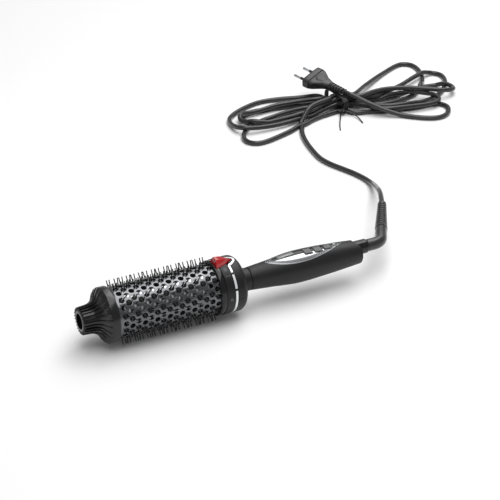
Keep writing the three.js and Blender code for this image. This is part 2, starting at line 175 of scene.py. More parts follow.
surface("charcoal", (0.009, 0.009, 0.010), 0.4, grain=3200, bump=0.25, depth=0.03, Specular_IOR_Level=0.3)
surface("nose_black", (0.006, 0.006, 0.007), 0.2, grain=3200, bump=0.15, depth=0.03,
        Specular_IOR_Level=0.45)
surface("gloss_black", (0.006, 0.006, 0.007), 0.09, vary=0.03, grain=500, bump=0.03,
        Specular_IOR_Level=0.32, Coat_Weight=0.1, Coat_Roughness=0.05)
surface("key_grey", (0.035, 0.035, 0.038), 0.25, tint=0.1, grain=2200, bump=0.1, Coat_Weight=0.2)
surface("barrel_metal", (0.14, 0.143, 0.15), 0.22, 1.0, tint=0.12, vary=0.05, patch=90, grain=1500,
        bump=0.12, depth=0.02, stretch=(1, 5, 5))
surface("steel", (0.55, 0.56, 0.58), 0.24, 1.0, grain=2500, bump=0.1, depth=0.02)
surface("chrome", (0.8, 0.81, 0.82), 0.28, 0.35, tint=0.03, vary=0.05, grain=1500, bump=0.04)
surface("aluminium", (0.62, 0.63, 0.65), 0.26, 1.0, tint=0.08, grain=1800, bump=0.15, depth=0.03,
        stretch=(6, 1, 1))
surface("copper", (0.72, 0.36, 0.2), 0.28, 1.0, grain=2500)
surface("bristle_nylon", (0.009, 0.009, 0.010), 0.36, grain=2500)
surface("soft_grip", (0.010, 0.010, 0.011), 0.42, tint=0.12, patch=25, grain=4200, bump=0.3, depth=0.03,
        Specular_IOR_Level=0.3, Sheen_Weight=0.06, Sheen_Roughness=0.4)
surface("panel_silver", (0.42, 0.43, 0.45), 0.3, 0.85, tint=0.05, grain=2600, bump=0.08, depth=0.02,
        stretch=(0.2, 3, 3))
surface("display_glass", (0.2, 0.205, 0.21), 0.1, tint=0.1, patch=120, grain=700, bump=0.02,
        Coat_Weight=0.6, Coat_Roughness=0.05)
surface("hatch_grey", (0.2, 0.203, 0.21), 0.34, 0.6, tint=0.08, grain=2600, bump=0.08)
surface("light_white", (0.75, 0.75, 0.72), 0.25, tint=0.04, grain=900)
surface("board_green", (0.02, 0.12, 0.05), 0.4)
surface("keypad_rubber", (0.5, 0.5, 0.48), 0.6)
surface("heater_film", (0.5, 0.27, 0.08), 0.4, patch=300)
surface("lead_pvc", (0.022, 0.022, 0.023), 0.24, tint=0.2, vary=0.07, patch=45, grain=1600, bump=0.12,
        depth=0.04)
surface("tie_plastic", (0.012, 0.012, 0.013), 0.3, grain=1500)
surface("red_lens", (0.6, 0.004, 0.009), 0.07, tint=0.1, vary=0.02, patch=200, grain=500, bump=0.02,
        Transmission_Weight=0.35, IOR=1.5, Coat_Weight=0.4, Coat_Roughness=0.03)
surface("mark", (0.16, 0.16, 0.165), 0.5, grain=2500)


# ---- pieces ----
def as_piece(obj, body, slot, *nodes):
    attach(obj, body)
    if nodes:
        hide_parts(*nodes)
    return obj


def mesh_object(name, points, faces, material, bevel=0.0, angle=35):
    """A mesh object from points in millimetres; a bevel, in millimetres, rounds its sharp edges."""
    mesh = bpy.data.meshes.new(name)
    mesh.from_pydata([(p[0] * MM, p[1] * MM, p[2] * MM) for p in points], [], faces)
    bm = bmesh.new()
    bm.from_mesh(mesh)
    bmesh.ops.remove_doubles(bm, verts=bm.verts, dist=1e-6)
    bmesh.ops.dissolve_degenerate(bm, edges=bm.edges, dist=1e-7)
    bmesh.ops.recalc_face_normals(bm, faces=bm.faces)
    bm.to_mesh(mesh)
    bm.free()
    mesh.materials.append(MATERIALS[material])
    obj = linked(name, mesh)
    finish_edges(obj, bevel, angle)
    return obj


def finish_edges(obj, bevel=0.0, angle=35):
    """Smooth faces, whose sharp edges are rounded or, without a bevel, stay crisp."""
    obj.data.polygons.foreach_set("use_smooth", [True] * len(obj.data.polygons))
    if bevel:
        rounding = obj.modifiers.new("bevel", "BEVEL")
        rounding.width = bevel * MM
        rounding.segments = 3
        rounding.limit_method = "ANGLE"
        rounding.angle_limit = math.radians(30)
        rounding.harden_normals = True
    else:
        obj.data.set_sharp_from_angle(angle=math.radians(angle))


def carve(obj, *tools, bevel=0.0, angle=35):
    """Cuts the tool objects out of obj, removes them and finishes its edges again."""
    for tool in tools:
        step = obj.modifiers.new("carve", "BOOLEAN")
        step.object = tool
        step.operation = "DIFFERENCE"
        step.solver = "EXACT"
    view = bpy.context.evaluated_depsgraph_get()
    old = obj.data
    obj.data = bpy.data.meshes.new_from_object(obj.evaluated_get(view))
    obj.modifiers.clear()
    obj.data.name = old.name + "_cut"
    for tool in tools:
        bpy.data.objects.remove(tool)
    finish_edges(obj, bevel, angle)


def polar(x, r, degrees, z=AXIS_Z):
    a = math.radians(degrees)
    return (x, -r * math.sin(a), z + r * math.cos(a))


def loop_faces(a, b, count):
    """Faces between the closed loops of `count` points that start at a and at b."""
    return [(a + k, a + (k + 1) % count, b + (k + 1) % count, b + k) for k in range(count)]


def skin(loops, count):
    """Faces over a row of closed loops of `count` points each, with both ends closed."""
    faces = [face for i in range(loops - 1) for face in loop_faces(i * count, (i + 1) * count, count)]
    last = (loops - 1) * count
    return faces + [tuple(range(count)), tuple(range(last, last + count))]


def lathe_mesh(profile, steps=128, start=0.0, stop=360.0, z=AXIS_Z, shape=None):
    """Points and faces of a closed [x, radius] profile turned about the X axis through height z."""
    full = stop - start >= 360
    count = steps if full else steps + 1
    points, faces, m = [], [], len(profile)
    for i in range(count):
        degrees = start + (stop - start) * i / steps
        for x, r in profile:
            if shape:
                x, r = shape(x, r, degrees)
            points.append(polar(x, r, degrees, z))
    for i in range(steps):
        faces += loop_faces(i * m, (i + 1) % count * m, m)
    if not full:
        faces += [tuple(range(m)), tuple(range(steps * m + m - 1, steps * m - 1, -1))]
    return points, faces


def lathe(name, profile, material, **turning):
    return mesh_object(name, *lathe_mesh(profile, **turning), material)


def shifted(start, *profile):
    """An [x, radius] profile given from x = start."""
    return [(start + x, r) for x, r in profile]


def merged(parts):
    """One list of points and faces from several."""
    points, faces = [], []
    for more, joined in parts:
        base = len(points)
        points += list(more)
        faces += [tuple(base + i for i in face) for face in joined]
    return points, faces


def catmull(points, per=8):
    """Points along a uniform Catmull-Rom curve through `points`."""
    p = [np.array(q, float) for q in points]
    p = [2 * p[0] - p[1], *p, 2 * p[-1] - p[-2]]
    made = []
    for a, b, c, d in zip(p, p[1:], p[2:], p[3:]):
        for i in range(per):
            t = i / per
            made.append(0.5 * (2 * b + (c - a) * t + (2 * a - 5 * b + 4 * c - d) * t * t
                               + (3 * b - a - 3 * c + d) * t ** 3))
    return made + [p[-2]]


def smoothstep(low, high, value):
    t = min(1.0, max(0.0, (value - low) / (high - low)))
    return t * t * (3 - 2 * t)


def squarish(angle, power):
    """A point on a unit superellipse, which gets squarer as power rises."""
    c, s = math.cos(angle), math.sin(angle)
    scale = (abs(c) ** power + abs(s) ** power) ** (-1 / power)
    return c * scale, s * scale


def prism(outline, z0, z1):
    """Points and faces of a flat outline [(x, y), ...] raised from z0 to z1."""
    n = len(outline)
    points = [(x, y, z0) for x, y in outline] + [(x, y, z1) for x, y in outline]
    return points, [tuple(range(n - 1, -1, -1)), tuple(range(n, 2 * n)), *loop_faces(0, n, n)]


def rounded_rect(x, y, half_x, half_y, r, steps=6):
    outline = []
    for k, (sx, sy) in enumerate([(1, 1), (-1, 1), (-1, -1), (1, -1)]):
        for i in range(steps + 1):
            a = math.radians(90 * (k + i / steps))
            outline.append((x + sx * (half_x - r) + r * math.cos(a), y + sy * (half_y - r) + r * math.sin(a)))
    return outline


def tube_mesh(line, radius, sides):
    """Points and faces of a round tube along `line`; radius is a number or one for each point."""
    line = np.array(line, float)
    radius = np.broadcast_to(np.array(radius, float), len(line))
    tangent = np.gradient(line, axis=0)
    tangent /= np.linalg.norm(tangent, axis=1)[:, None]
    side = np.cross(tangent[0], (0.0, 0.0, 1.0) if abs(tangent[0][2]) < 0.9 else (1.0, 0.0, 0.0))
    points = []
    for p, t, r in zip(line, tangent, radius):
        side = side - t * np.dot(side, t)
        side /= np.linalg.norm(side)
        up = np.cross(t, side)
        for k in range(sides):
            a = 2 * math.pi * k / sides
            points.append(p + r * (math.cos(a) * side + math.sin(a) * up))
    return points, skin(len(line), sides)


# ---- mains lead: relief end, floor, tied hank, plug ----
LEAD_ROUTE = [
    (228.6, 84, 35), (237, 99, 32.6), (245.9, 115.7, 28), (255.2, 133.8, 21.5), (264.5, 153, 14),
    (272.3, 171.2, 7.5), (276, 185, 3.8), (276, 197, 3), (272.8, 213.5, 3), (267, 231, 3),
    (261.2, 249, 3), (258.7, 267, 3), (261.4, 290, 3), (266.8, 315.5, 3), (274.5, 339, 3.1),
]
TIE_X = 357.5
TIE_Y = 400.8
TIE_REACH = 21  # the bundle lies this near to TIE_Y, and no higher above the floor
LYING = 3.2
# Every loop of the hank, and (y, z) of the place under the tie that the cord goes to after it.
# A point with no height is at LYING.
HANK_LOOPS = [
    ([(288, 366, 3.5), (296, 377, 7), (305, 381, 12), (316, 385, 16), (329, 388, 19),
      (344, 391, 18)], (405, 15)),
    ([(381, 399, 14), (419, 429, 9), (462, 460, 5), (497, 479), (514, 481), (519, 466), (513, 441),
      (501, 419), (482, 396, 3.5), (458, 380, 4), (432, 375, 4), (404, 379, 4)], (414, 3)),
    ([(352, 430, 7), (327, 438, 6), (303, 448, 5), (276, 453, 4), (247, 444, 4), (225, 431, 3.5),
      (214, 419, 4), (209, 399, 6), (212, 379, 9), (232, 374, 8), (255, 373, 7), (280, 375, 7),
      (309, 381, 8)], (391.5, 9)),
    ([(404, 386, 11), (427, 393, 11), (460, 408, 9), (490, 423, 9.5), (510, 432, 7), (529, 436, 4),
      (534, 424), (526, 402), (508, 380), (485, 365, 4), (454, 352, 7), (424, 351, 9),
      (399, 364, 9)], (409.5, 9)),
    ([(341, 406, 14), (321, 415, 12), (303, 421, 10), (278, 424, 8), (253, 422, 7), (235, 420, 6.5),
      (224, 412, 6), (223, 400, 6), (236, 392, 6), (258, 387, 7), (282, 383, 9),
      (310, 382, 12)], (396, 15)),
    ([(381, 382.5, 18), (409, 388, 17), (432, 388, 17), (458, 380, 16), (480, 368, 14), (496, 360.5, 13),
      (509, 361.5, 11), (517.5, 371, 8.5), (518, 384, 5.5), (509, 394.5, 3.5), (493, 399), (473, 398),
      (452, 394), (425, 389)], (405, 3)),
    ([(345.5, 417, 4), (318, 421), (292, 424), (267, 428.5), (247, 428.5), (232, 421), (227.5, 409.5),
      (234, 398.5), (250, 394.5), (272, 397.5), (296, 401), (320, 402.5), (338, 402)], (396, 3)),
    ([(398, 386, 5), (420, 388, 7), (440, 386, 9), (464, 379, 9), (478, 366, 9), (482, 354, 8),
      (476, 342, 8), (461, 339, 8.5), (440, 341, 9), (416, 344, 10), (395, 353, 10)], (400.5, 9)),
    ([(334, 398, 9), (306, 400, 8), (275, 396, 9), (252, 390, 9), (237, 394), (222, 385), (211, 373),
      (204, 357), (206, 343), (220, 340), (241, 345), (268, 355), (296, 367), (321, 376)], (380.5, 3)),
    ([(363, 367), (383, 362), (405, 354), (430, 349), (457, 346), (476, 345), (482, 335), (477, 321),
      (465, 309), (449, 306), (431, 316), (413, 333, 5), (400, 342, 9), (388, 354, 14)], None),
]
PLUG_END = PLUG_FRAME @ Vector((56, 0, 0))
PLUG_HEADING = (PLUG_FRAME.to_3x3() @ Vector((1, 0, 0))).normalized()


def evenly(points, step):
    """The same line with a point every `step`."""
    points = np.array(points, float)
    along = np.concatenate([[0], np.cumsum(np.linalg.norm(np.diff(points, axis=0), axis=1))])
    places = np.linspace(0, along[-1], int(round(along[-1] / step)) + 1)
    return np.column_stack([np.interp(places, along, points[:, k]) for k in range(3)])


def cord_route():
    route = [CORD_EXIT, *LEAD_ROUTE]
    for loop, under_tie in HANK_LOOPS:
        route += [(*point, LYING)[:3] for point in loop]
        if under_tie:
            route.append((TIE_X, *under_tie))
    return evenly(catmull([*route, PLUG_END + PLUG_HEADING * 7, PLUG_END + PLUG_HEADING * 0.3], 12), CORD_D)


def settled(line, free, rounds=260):
    """The cord after it has come to rest: no part lies in another or in the floor, and it bends evenly.

    `free` is 0 where a point is held in place, and 1 where it moves freely."""
    target, room = line.copy(), CORD_D * 1.02
    slack, deepest = 3, 8.2  # a bend over 2 * slack points may be this deep
    home_pull, fall, push_share = (0.1, 0.1, 0.05), 0.06, 1.6
    first, second = np.triu_indices(len(line), 5)
    for _ in range(rounds):
        for share in (0.5, -0.5):
            middle = line.copy()
            middle[1:-1] = (line[:-2] + line[2:]) / 2
            line = line + free * (middle - line) * share
        chord = (line[:-2 * slack] + line[2 * slack:]) / 2 - line[slack:-slack]
        depth = np.sqrt((chord ** 2).sum(1))
        over = np.clip(depth - deepest, 0, None) / np.maximum(depth, 1e-6)
        line[slack:-slack] += free[slack:-slack] * chord * over[:, None] * 0.5
        line = line + free * (target - line) * home_pull
        line[:, 2] -= free[:, 0] * fall
        apart = line[first] - line[second]
        distance = np.sqrt((apart ** 2).sum(1))
        near = distance < room
        a, b = first[near], second[near]
        length = np.maximum(distance[near], 1e-3)[:, None]
        push = apart[near] / length * ((room - distance[near]) / 2)[:, None]
        total, count = np.zeros_like(line), np.zeros(len(line))
        np.add.at(total, a, push)
        np.add.at(total, b, -push)
        np.add.at(count, a, 1)
        np.add.at(count, b, 1)
        line = line + free * total / np.maximum(count, 1)[:, None] * push_share
        line[:, 2] = np.maximum(line[:, 2], CORD_D / 2)
    return line


def add_cord():
    """The lead is held up to the hank and at the plug, and freed by degrees where the hank starts."""
    route = cord_route()
    held, eased, held_at_plug = 46, 64, 4
    free = np.ones((len(route), 1))
    free[:held] = free[-held_at_plug:] = 0
    free[held:eased, 0] = np.linspace(0.05, 1, eased - held)
    line = evenly(catmull(settled(route, free), 3), 2.5) * MM
    curve = bpy.data.curves.new("mains_cord", "CURVE")
    curve.dimensions = "3D"
    spline = curve.splines.new("POLY")
    spline.points.add(len(line) - 1)
    spline.points.foreach_set("co", np.column_stack([line, np.ones(len(line))]).ravel())
    curve.bevel_depth = CORD_D / 2 * MM
    curve.bevel_resolution = 4
    curve.use_fill_caps = True
    curve.materials.append(MATERIALS["lead_pvc"])
    cord = linked("mains_cord", curve)
    as_piece(cord, "lead", "lead_pvc", "cord", "cord_hank")
    return cord, line


def add_elbow():
    before = ELBOW_CORNER - Vector((9, 0, 0))
    after = ELBOW_CORNER + RELIEF_DIRECTION * 9
    line = [Vector((END_X + 0.3, 0, SWIVEL_Z))]
    line += [before.lerp(ELBOW_CORNER, t).lerp(ELBOW_CORNER.lerp(after, t), t) for t in np.linspace(0, 1, 17)]
    line.append(ELBOW_CORNER + RELIEF_DIRECTION * (ELBOW_LENGTH - GAP))
    fine = evenly(line, 0.5)
    places = np.linspace(0, 1, len(fine))
    rounding = np.interp(places, [0, 0.008, 0.02, 0.98, 1], [0.7, 0.2, 0, 0, 0.3])
    elbow = mesh_object("elbow_tube", *tube_mesh(fine, ELBOW_R - rounding, 48), "lead_pvc")
    return as_piece(elbow, "lead", "lead_pvc", "cord_elbow")


def along(points, start, direction):
    """Turns points made about the X axis (z from 0) to lie along `direction` from `start`."""
    frame_of = Matrix.Translation(start) @ direction.to_track_quat("X", "Z").to_matrix().to_4x4()
    return [frame_of @ Vector(p) for p in points]


def add_relief():
    ribs, pitch = 11, 4.8
    profile = [(0, 0), (0, 6.1), (0.4, 6.6), (3.0, 6.6), (3.6, 6.3)]
    for i in range(ribs):
        x = 4.6 + i * pitch
        r = 6.5 - 1.7 * (i + 0.5) / ribs
        profile += [(x, r - 1.2), (x + 0.3, r - 0.1), (x + 0.7, r), (x + pitch * 0.6, r),
                    (x + pitch * 0.66, r - 0.1), (x + pitch * 0.72, r - 1.2)]
    profile += [(58.2, 4.8), (59.3, 4.7), (59.7, 4.2), (59.7, 0)]
    points, faces = lathe_mesh(profile, 48, z=0)
    points = along(points, RELIEF_START, RELIEF_DIRECTION)
    relief = mesh_object("ribbed_relief", points, faces, "lead_pvc", angle=50)
    return as_piece(relief, "lead", "lead_pvc", "strain_relief")


# ---- plug, in its own frame: +X from the pins to the lead, Z through its thickness ----
PIN_PITCH = 18.6


def on_plug(points):
    return [PLUG_FRAME @ Vector(p) for p in points]


def plug_section(x):
    """Half width, half thickness and squareness of the plug body at x."""
    half_width = np.interp(x, [0, 1, 9, 13, 24, 33], [16.7, 17.65, 17.65, 16.15, 8.5, 5.5])
    half_thick = np.interp(x, [0, 1, 9, 9.01, 13, 26, 33], [6.1, 6.85, 6.85, 6.5, 6.4, 5.6, 4.6])
    groove = 0.7 * (1 - min(1, abs(x - 9.6) / 0.7))
    return half_width - groove, half_thick - groove, 5.0 - 2.2 * smoothstep(14, 32, x)


def add_plug():
    stations = [0, 0.25, 1.0, 4, 8.6, 8.9, 9.3, 9.6, 9.9, 10.3] + list(np.linspace(11, 32.4, 37)) + [32.9, 33]
    sides = 72
    points = []
    for x in stations:
        w, t, n = plug_section(x)
        inset = 0.8 if x in (0, 33) else 0
        for k in range(sides):
            c, s = squarish(2 * math.pi * (k + 0.5) / sides, n)
            y, z = (w - inset) * c, (t - inset) * s
            oval = math.hypot((x - 19.0) / 7.2, y / (8.2 - 0.28 * (x - 12)))
            pad = 0.75 * smoothstep(1.0, 0.86, oval) if oval < 1 and abs(s) > 0.8 else 0
            points.append((x, y, z + math.copysign(pad, s)))
    body = mesh_object("plug_shell", on_plug(points), skin(len(stations), sides), "lead_pvc", angle=40)
    made = [as_piece(body, "lead", "lead_pvc", "plug_body")]

    profile = [(32.8, 0), (32.8, 4.2)]
    for i in range(5):
        x, r = 33.4 + i * 4.1, 5.0 - 0.28 * i
        profile += [(x, r - 1.4), (x + 0.3, r), (x + 2.3, r), (x + 2.7, r - 1.4)]
    profile += [(54.4, 3.4), (55.4, 3.9), (56, 3.5), (56, 0)]
    points, faces = lathe_mesh(profile, 32, z=0)
    points = on_plug((x, y * 1.15, z * 0.95) for x, y, z in points)
    tail = mesh_object("plug_tail", points, faces, "lead_pvc", angle=50)
    made.append(as_piece(tail, "lead", "lead_pvc", "plug_relief"))

    for i, side in enumerate((-1, 1)):
        sleeve = [(0.5, 0), (0.5, 1.9), (-9.2, 1.9), (-9.4, 1.7), (-9.4, 0)]
        metal = [(-8, 0), (-8, 2.0), (-9.5, 2.0), (-9.5, 1.95), (-17.6, 1.95), (-18.4, 1.6), (-18.9, 0.9),
                 (-19, 0)]
        for name, profile, material in (("sleeve", sleeve, "lead_pvc"), ("contact", metal, "steel")):
            points, faces = lathe_mesh(profile, 24, z=0)
            points = on_plug((x, y + side * PIN_PITCH / 2, z) for x, y, z in points)
            pin = mesh_object(f"plug_{name}_{i + 1}", points, faces, material)
            replaced = [f"plug_pin_{i + 1}"] if name == "contact" else []
            made.append(as_piece(pin, "lead", material, *replaced))
    return made


def add_tie(line):
    """A coated wire wound round the hank, with its two ends twisted and bent down to the floor."""
    bundle = line[np.abs(line[:, 0] / MM - TIE_X) < 4] / MM
    bundle = bundle[(np.abs(bundle[:, 1] - TIE_Y) < TIE_REACH) & (bundle[:, 2] < TIE_REACH)]
    margin, r, bottom = 4.0, 1.0, 1.0
    low_y, high_y, top = bundle[:, 1].min() - margin, bundle[:, 1].max() + margin, bundle[:, 2].max() + margin
    route = []
    turns, steps = 3, 24
    for i in range(turns * steps + 1):
        c, s = squarish(2 * math.pi * i / steps - math.pi / 2, 3.5)
        route.append((TIE_X - 3 + 2.1 * i / steps, (low_y + high_y) / 2 + (high_y - low_y) / 2 * c,
                      (top + bottom) / 2 + (top - bottom) / 2 * s))
    wound = mesh_object("tie_winding", *tube_mesh(evenly(catmull(route, 2), 1.2), r, 8), "tie_plastic")
    knot = np.array((TIE_X - 8, low_y - 1.5, 4.0))
    ends = [[(4, 4, 2), (0, 0, 0), (-6, -10, -0.5), (-17, -27, -2.2), (-25, -42, -2.9)],
            [(-3, 4, 2), (1, -1, 1), (9, -7, 1), (13, -20, -1.5), (11, -36, -2.9)]]
    parts = [tube_mesh(evenly(catmull(knot + end, 8), 1.2), 0.8, 8) for end in ends]
    for phase in (0, math.pi):
        twist = [knot + (2.2 * math.cos(t + phase) + 3, 2 - 0.7 * t, 1 + 2.0 * math.sin(t + phase))
                 for t in np.linspace(0, 9, 60)]
        parts.append(tube_mesh(twist, 0.9, 8))
    tails = mesh_object("tie_ends", *merged(parts), "tie_plastic")
    return [as_piece(wound, "lead", "tie_plastic", "twist_tie"), as_piece(tails, "lead", "tie_plastic")]


def add_lead():
    cord, line = add_cord()
    pieces = [add_elbow(), add_relief(), *add_plug(), *add_tie(line)]


add_lead()


# ---- nose cap ----
def add_nose_cap():
    outer = [(0.7, 13.6), (3, 13.8), (6, 14), (10, 14.4), (13.6, 15.6), (16.6, 17.9), (18.8, 20.9),
             (20.6, 24.2), (22.4, 26.6), (24.2, 27.6), (26.4, 27.7)]
    inner = [(31.5, 25.7), (26.2, 25.7), (22.9, 23), (19.2, 18.5), (15.1, 13.6), (12, 12), (12, 2.3),
             (9, 2.3), (9, 7.6), (0.5, 7.6), (0, 8.1), (0, 9.8)]
    face = [(0, 11.2), (0, 12.6), (0.15, 13.2)]
    front = face + [*map(tuple, catmull(outer, 5)), (30.7, 27.7), (31.3, 27.5), (31.5, 27)]
    fluted = {(NOSE_X + x, r) for x, r in front if x < 24}
    grooves = 24

    def shape(x, r, degrees):
        if (x, r) not in fluted:
            return x, r
        along_x = x - NOSE_X
        groove = smoothstep(0.12, 0.45, abs((degrees * grooves / 360 + 0.5) % 1 - 0.5) * 2)
        depth = np.interp(along_x, [0, 2, 9, 14, 17, 20, 22.5, 24], [1.3, 1.8, 2.1, 2.1, 2.0, 1.8, 1.0, 0])
        if along_x < 0.3:
            return x + 1.6 * groove * smoothstep(10.2, 12.8, r), r - 0.5 * groove
        return x, r - depth * groove

    cap = lathe("nose_cap_body", shifted(NOSE_X, *front, *inner), "nose_black", steps=grooves * 14,
                shape=shape)
    as_piece(cap, "nose_cap", "charcoal", "nose_cap")


# ---- small generic marks, laid on a round surface ----
def add_mark(name, body, x, degrees, r, outlines):
    """Flat outlines [(along x, round the axis), ...], a little proud of the surface of radius r."""
    parts = []
    for outline in outlines:
        flat, faces = prism(outline, -0.15, 0.05)
        parts.append(([polar(x + u, r + h, degrees + math.degrees(v / r)) for u, v, h in flat], faces))
    as_piece(mesh_object(name, *merged(parts), "mark"), body, "charcoal")


def bar(u, v, length, width):
    return [(u + a * length / 2, v + b * width / 2) for a, b in ((-1, -1), (1, -1), (1, 1), (-1, 1))]


def ring_arcs(r, width, count=10):
    """A ring as separate short arcs, so that each outline is simple."""
    arcs = []
    for k in range(count):
        a0, a1 = 2 * math.pi * k / count, 2 * math.pi * (k + 1) / count
        there = (a0, (a0 + a1) / 2, a1)
        corners = [(r + width / 2, a) for a in there] + [(r - width / 2, a) for a in reversed(there)]
        arcs.append([(edge * math.cos(a), edge * math.sin(a)) for edge, a in corners])
    return arcs


def add_marks():
    nose_x, collar_x = -128.6, -9.9
    add_mark("nose_mark_1", "nose_cap", nose_x, -7.4, 27.7, [bar(0, 0, 2.6, 0.5)])
    add_mark("nose_mark_2", "nose_cap", nose_x, 13.5, 27.7, ring_arcs(1.1, 0.45))
    add_mark("collar_mark_1", "head", collar_x, 28, COLLAR_R, [bar(0, v, 3.0, 0.45) for v in (-1.4, 0, 1.4)])
    add_mark("collar_mark_2", "head", collar_x, 43, COLLAR_R, [bar(u, 0, 0.8, 0.8) for u in (-1.7, 0, 1.7)])
    add_mark("collar_mark_3", "head", collar_x, 93.3, COLLAR_R, ring_arcs(1.2, 0.5))


# ---- perforated barrel, bristle rows and heater ----
def add_barrel():
    """The sleeve is laid out as bricks, one round each hole, and every brick joins its neighbours."""
    half_x, half_a = COLUMN_PITCH / 2, 180 / ROW_COUNT
    rim = [(-half_x, half_a * k / 2) for k in (2, 1, 0, -1)] + [(-half_x, -half_a), (0, -half_a)]
    rim += [(half_x, half_a * k / 2) for k in (-2, -1, 0, 1)] + [(half_x, half_a), (0, half_a)]
    arc = math.radians(1) * BARREL_R
    rolled_edge = ((2.98, 0.0), (2.78, 0.06), (2.66, 0.26))  # (radius, depth) of the rings round a hole
    points, faces = [], []
    for i in range(COLUMN_COUNT):
        x = FIRST_COLUMN_X + COLUMN_PITCH * i
        for k in range(ROW_COUNT):
            turn = 2 * half_a * k + (half_a if i % 2 else 0)
            base = len(points)
            points += [polar(x + u, BARREL_R, turn + v) for u, v in rim]
            n = len(rim)
            angles = []
            for j in range(n):
                a = math.atan2(rim[j][1] * arc, rim[j][0])
                b = math.atan2(rim[(j + 1) % n][1] * arc, rim[(j + 1) % n][0])
                angles += [a, a + ((b - a + math.pi) % (2 * math.pi) - math.pi) / 2]
            for hole, sink in rolled_edge:
                points += [polar(x + hole * math.cos(a), BARREL_R - sink, turn + hole * math.sin(a) / arc)
                           for a in angles]
            m = 2 * n
            for j in range(n):
                c = base + n
                faces.append((base + j, base + (j + 1) % n, c + (2 * j + 2) % m, c + 2 * j + 1, c + 2 * j))
            for ring in range(len(rolled_edge) - 1):
                faces += loop_faces(base + n + ring * m, base + n + (ring + 1) * m, m)
    ends = []
    for x0, x1, shift in ((BARREL_X - 2, FIRST_COLUMN_X - half_x, 0),
                          (FIRST_COLUMN_X + COLUMN_PITCH * (COLUMN_COUNT - 0.5), LIP_X + 1.5, half_a)):
        count = ROW_COUNT * 4
        ring = [[polar(x, BARREL_R, 360 / count * j + shift) for j in range(count)] for x in (x0, x1)]
        ends.append((ring[0] + ring[1], loop_faces(0, count, count)))
    sleeve = mesh_object("perforated_barrel", *merged([(points, faces), *ends]), "barrel_metal", angle=50)
    wall = sleeve.modifiers.new("wall", "SOLIDIFY")
    wall.thickness = 0.8 * MM
    wall.offset = -1
    as_piece(sleeve, "head", "barrel_metal", "barrel_tube")


def pin_mesh(x, degrees, lean_x, lean_a, inner, outer):
    """One tapered bristle pin with a rounded tip."""
    sides = 7
    heights = [(inner, 0.72), (inner + 2.2, 0.66), (outer - 1.2, 0.54), (outer - 0.8, 0.6),
               (outer - 0.3, 0.55), (outer - 0.06, 0.35)]
    points = []
    for r, size in heights:
        t = (r - inner) / (outer - inner)
        for k in range(sides):
            a = 2 * math.pi * k / sides
            points.append(polar(x + lean_x * t + size * math.cos(a), r,
                                degrees + lean_a * t + math.degrees(size * math.sin(a) / r)))
    return points, skin(len(heights), sides)


def add_bristles():
    """A strip is two beds joined by a bridge, each with a bristle pair under every other hole column."""
    rng = np.random.RandomState(11)
    first_x, last_x = FIRST_COLUMN_X - 3, FIRST_COLUMN_X + COLUMN_PITCH * (COLUMN_COUNT - 1) + 2
    bed_in, bed_out = 21.6, 23.6
    bed = [(first_x, bed_in), (first_x, bed_out), (last_x, bed_out), (last_x, bed_in)]
    bridge = [(first_x, bed_out), (first_x + 2, bed_out), (first_x + 2, bed_in), (first_x, bed_in)]
    row_turn, bed_half = 180 / ROW_COUNT, 2.9
    boss_r, pin_r, half_pair, most_lean = 22.9, 23.5, 1.2, 0.45
    for strip in range(STRIP_COUNT):
        turn = 360 / STRIP_COUNT * strip
        parts = []
        for i in range(COLUMN_COUNT):
            x = FIRST_COLUMN_X + COLUMN_PITCH * i
            row = turn + (row_turn if i % 2 else 0)
            points, faces = lathe_mesh([(0, 0), (0, 2.1), (1.4, 1.95), (1.7, 1.6), (1.7, 0)], 18, z=0)
            up = Matrix.Translation(polar(x, boss_r, row)) @ Matrix.Rotation(math.radians(row), 4, "X")
            boss = [up @ Vector((z, y, u)) for u, y, z in points]
            parts.append((boss, faces))
            for side in (-1, 1):
                lean = rng.uniform(-most_lean, most_lean, 2)
                parts.append(pin_mesh(x + side * half_pair, row, side * most_lean + lean[0], 1.2 * lean[1],
                                      pin_r, BRISTLE_R - 0.15))
        parts += [lathe_mesh(bed, 3, row - bed_half, row + bed_half) for row in (turn, turn + row_turn)]
        parts.append(lathe_mesh(bridge, 4, turn + 2.8, turn + 6.2))
        rows = mesh_object(f"bristle_row_{strip + 1}", *merged(parts), "bristle_nylon", angle=45)
        as_piece(rows, "head", "bristle_nylon", f"bristle_strip_{strip + 1}")


def add_heater():
    x0, x1, half_arc = BARREL_X + 8, LIP_X - 8, 84
    for name, middle in (("upper", 0), ("lower", 180)):
        profile = [(x0, 16.5), (x0, 20.6), (x0 + 0.3, 20.8)]
        for x in np.linspace(x0 + 2, x1 - 2, 22):
            profile += [(x - 0.5, 20.8), (x - 0.3, 20.5), (x + 0.3, 20.5), (x + 0.5, 20.8)]
        profile += [(x1 - 0.3, 20.8), (x1, 20.6), (x1, 16.5)]
        half = lathe(f"spreader_{name}", profile, "aluminium", steps=48, start=middle - half_arc,
                     stop=middle + half_arc)
        as_piece(half, "head", "aluminium", f"heat_spreader_{name}")


# ---- collars, release button and neck ----
RELEASE_X = (NOSE_X + 140.1, NOSE_X + 159.7)
RELEASE_HALF = 7.8


def turned_about_axis(points, degrees):
    """Points given with z from the brush axis, turned about it."""
    turn = Matrix.Rotation(math.radians(degrees), 4, "X")
    return [turn @ Vector(p) + Vector((0, 0, AXIS_Z)) for p in points]


def release_outline(grow):
    x0, x1 = RELEASE_X
    side = [(x0 - grow, RELEASE_HALF + grow), (x0 + 9.5, 5 + grow), (x1 + grow * 2, 0.2 + grow / 2)]
    return side + [(x, -y) for x, y in reversed(side)]


def seat_cutter():
    points, faces = prism(release_outline(0.4), 24.2, 36)
    return mesh_object("seat_cutter", turned_about_axis(points, RELEASE_ROLL), faces, "charcoal")


